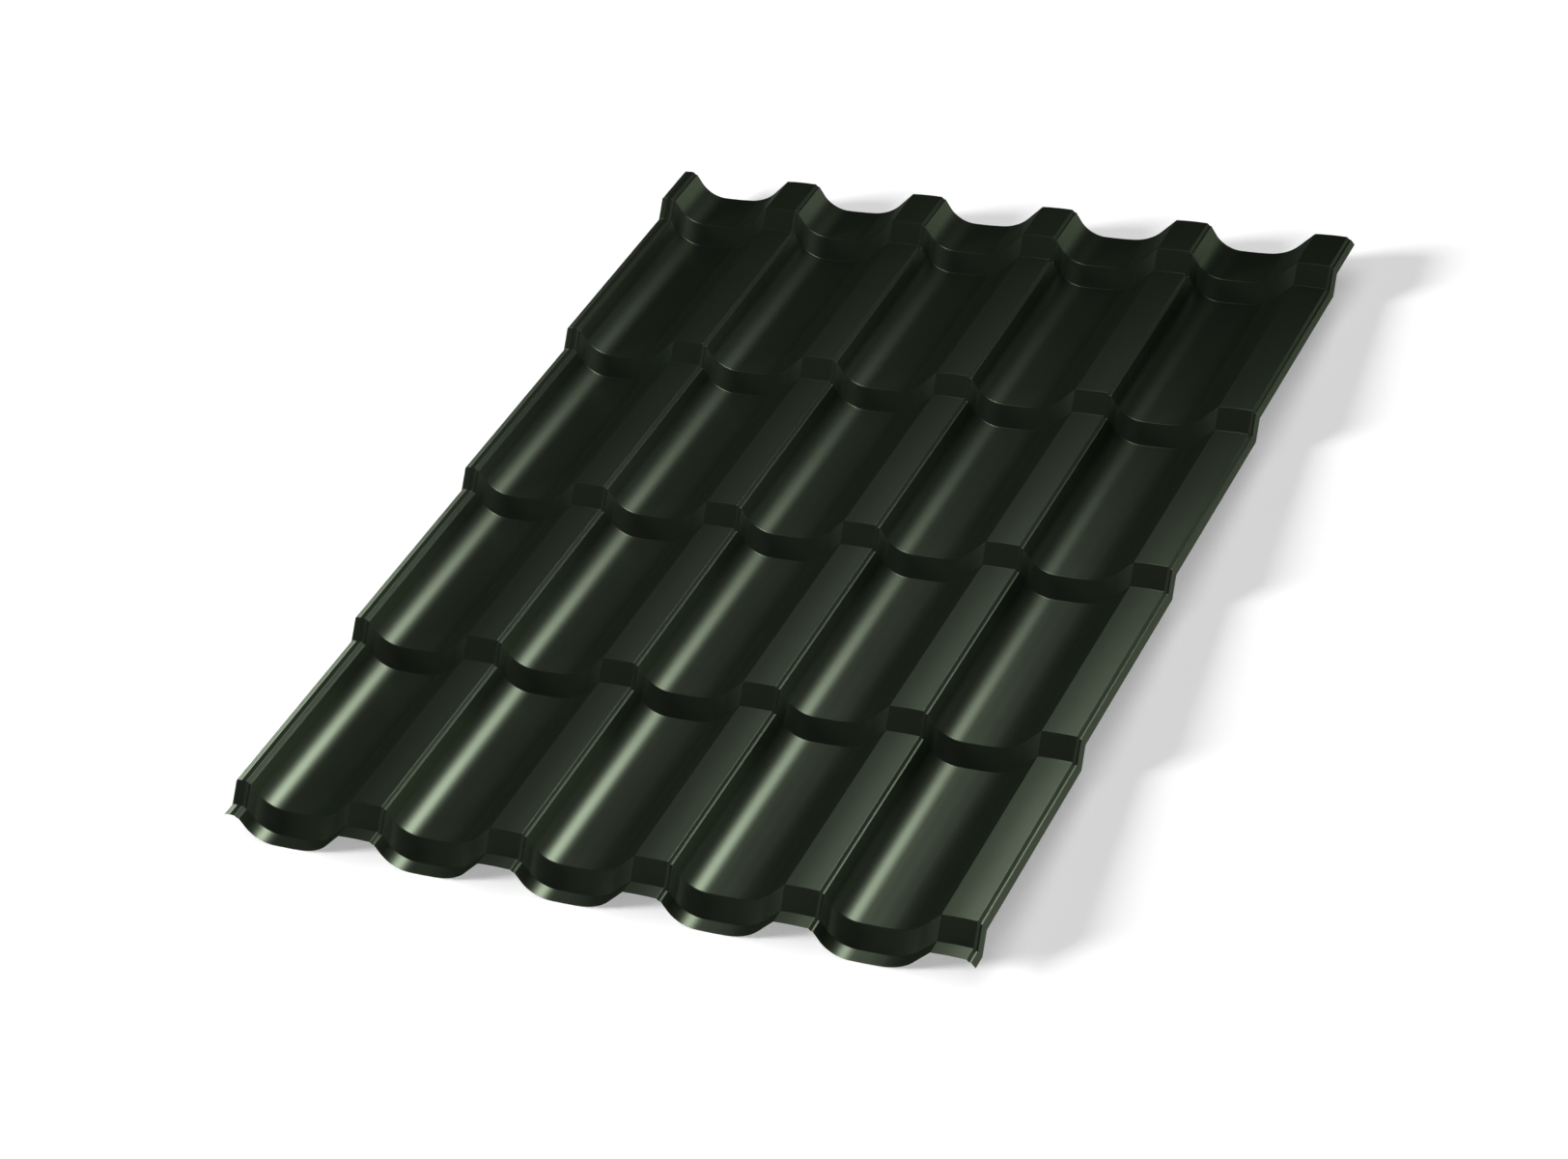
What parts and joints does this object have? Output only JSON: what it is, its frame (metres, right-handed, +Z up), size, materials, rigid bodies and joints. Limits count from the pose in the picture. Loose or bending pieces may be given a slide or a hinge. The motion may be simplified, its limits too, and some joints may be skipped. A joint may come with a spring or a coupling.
{
  "type": "tile effect roofing sheet",
  "caption": "Pressed steel roofing sheet with deep rounded troughs, flat crests and straight cross steps that imitate rows of tiles, coated very dark green.",
  "frame": {"origin": "bottom centre of the sheet's bounding box, on the floor it lies on", "axes": "+X across the sheet towards the edge that laps over its neighbour, +Y up the roof slope from the eave edge, +Z up out of the roof"},
  "size_m": [1.179, 1.53, 0.074],
  "materials": {
    "tile_sheet": "satin polyester coating, very dark green"
  },
  "bodies": {
    "root": {"tile_sheet": "tile_sheet"}
  },
  "joints": []
}
